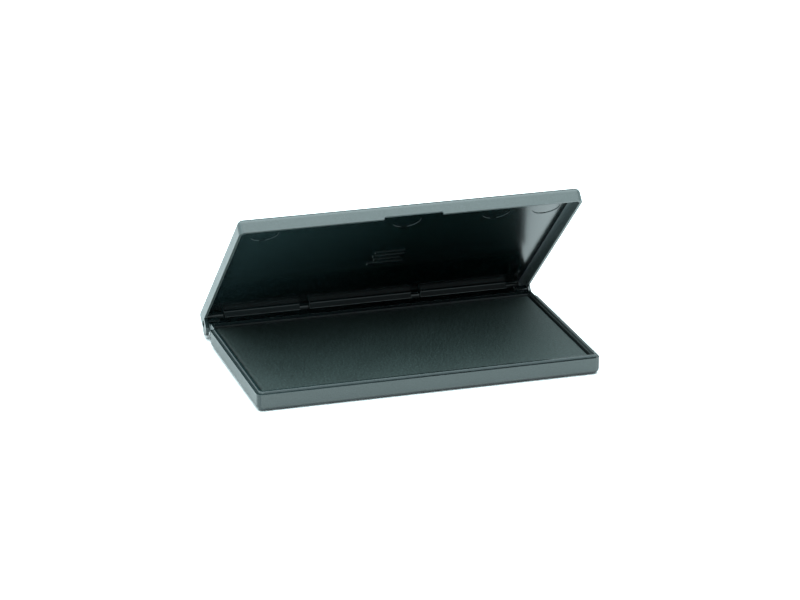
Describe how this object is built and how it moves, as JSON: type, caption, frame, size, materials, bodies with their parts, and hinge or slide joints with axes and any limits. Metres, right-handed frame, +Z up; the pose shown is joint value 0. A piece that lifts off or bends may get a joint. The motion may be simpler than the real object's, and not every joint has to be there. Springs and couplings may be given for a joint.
{
  "type": "ink pad",
  "caption": "Rectangular ink pad in a shallow plastic case with a hinged lid, shown half open over a cloth-covered felt pad.",
  "frame": {"origin": "on the underside, at the centre of the closed case's footprint", "axes": "+X to the right along the hinge, +Y to the hinge side at the back, +Z up"},
  "size_m": [0.168, 0.1131, 0.0825],
  "materials": {
    "case_plastic": "moulded black polystyrene, satin outside and glossy inside the lid",
    "carrier_plastic": "thin moulded tray, satin",
    "tape": "double-sided cloth tape",
    "board": "hardboard, smooth side up",
    "felt": "wool felt soaked in black ink",
    "inked_cloth": "close-woven cotton, damp with black ink"
  },
  "bodies": {
    "base": {"base_tray": "case_plastic", "pad_carrier": "carrier_plastic", "mounting_tape": "tape", "backing_board": "board", "ink_felt": "felt", "top_felt": "felt", "pad_cloth": "inked_cloth"},
    "lid": {"lid": "case_plastic"}
  },
  "joints": [
    {"name": "lid_hinge", "type": "hinge", "parent": "base", "child": "lid", "pos_m": [0, 0.0488, 0.0073], "axis": [-1, 0, 0], "range_deg": [-42.3, 57.7]}
  ]
}
